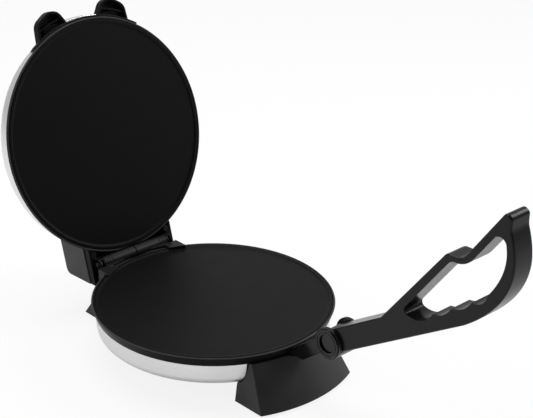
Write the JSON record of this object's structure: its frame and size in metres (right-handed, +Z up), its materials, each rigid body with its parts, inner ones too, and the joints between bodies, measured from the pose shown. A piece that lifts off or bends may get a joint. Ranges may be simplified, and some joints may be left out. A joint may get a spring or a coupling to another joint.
{
  "type": "electric roti maker",
  "caption": "Countertop electric cooker for flat breads: a round heated base and hinged round lid, and a folding D-loop pressing handle.",
  "frame": {"origin": "on the table, under the axis of the cooking plates", "axes": "+Z up, -Y towards the user and the handle, +Y towards the lid hinge, +X to the user's right"},
  "size_m": [0.264, 0.6394, 0.3327],
  "materials": {
    "nonstick_plate": "cast, with a matt black non-stick coat",
    "silver_skin": "satin steel sheet",
    "black_shell": "fine-textured heat-resistant plastic",
    "black_handle": "semi-gloss moulded plastic",
    "rubber": "moulded",
    "zinc_steel": "zinc plated",
    "black_screw": "black-oxide steel screws",
    "element_steel": "heat-darkened tube",
    "reflector_steel": "aluminised sheet",
    "electrical_plastic": "moulded",
    "copper_lead": "silicone sleeve",
    "red_lens": "clear tinted",
    "green_lens": "clear tinted",
    "circuit_board": "printed board",
    "bush": "acetal"
  },
  "bodies": {
    "base": {"lower_plate": "nonstick_plate", "lower_bezel": "black_shell", "lower_heating_element": "element_steel", "lower_reflector": "reflector_steel", "lower_reflector_screws": "zinc_steel", "lower_thermostat": "electrical_plastic", "lower_thermostat_strap": "zinc_steel", "lower_thermal_fuse": "electrical_plastic", "base_pan": "black_shell", "left_side_panel": "silver_skin", "right_side_panel": "silver_skin", "front_leg": "black_shell", "rear_leg": "black_shell", "leg_screws": "black_screw", "foot_front_left": "rubber", "foot_front_right": "rubber", "foot_rear_left": "rubber", "foot_rear_right": "rubber", "handle_bracket": "black_handle", "handle_bracket_screws": "black_screw", "pivot_pin": "zinc_steel", "pivot_cap_left": "black_handle", "pivot_cap_right": "black_handle", "base_hinge_bracket": "black_shell", "base_hinge_screws": "black_screw", "hinge_pin": "zinc_steel", "hinge_pin_clips": "zinc_steel", "terminal_block": "electrical_plastic", "cord_gland": "rubber", "base_leads": "copper_lead"},
    "lid": {"upper_bezel": "black_shell", "upper_plate": "nonstick_plate", "upper_heating_element": "element_steel", "upper_reflector": "reflector_steel", "upper_reflector_screws": "zinc_steel", "upper_thermostat": "electrical_plastic", "upper_thermostat_strap": "zinc_steel", "upper_thermal_fuse": "electrical_plastic", "lid_shell": "silver_skin", "lid_grip_bracket": "black_handle", "lid_grip_screws": "black_screw", "lid_front_plate": "silver_skin", "lid_hinge_block": "black_handle", "lid_hinge_screws": "black_screw", "power_light_lens": "red_lens", "ready_light_lens": "green_lens", "indicator_board": "circuit_board"},
    "handle": {"handle_frame": "black_handle", "handle_bush": "bush"}
  },
  "joints": [
    {"name": "lid_hinge", "type": "hinge", "parent": "base", "child": "lid", "pos_m": [0, 0.1378, 0.0608], "axis": [1, 0, 0], "range_deg": [0, 106.9]},
    {"name": "handle_pivot", "type": "hinge", "parent": "base", "child": "handle", "pos_m": [0, -0.187, 0.0869], "axis": [-1, 0, 0], "range_deg": [0, 128]}
  ]
}
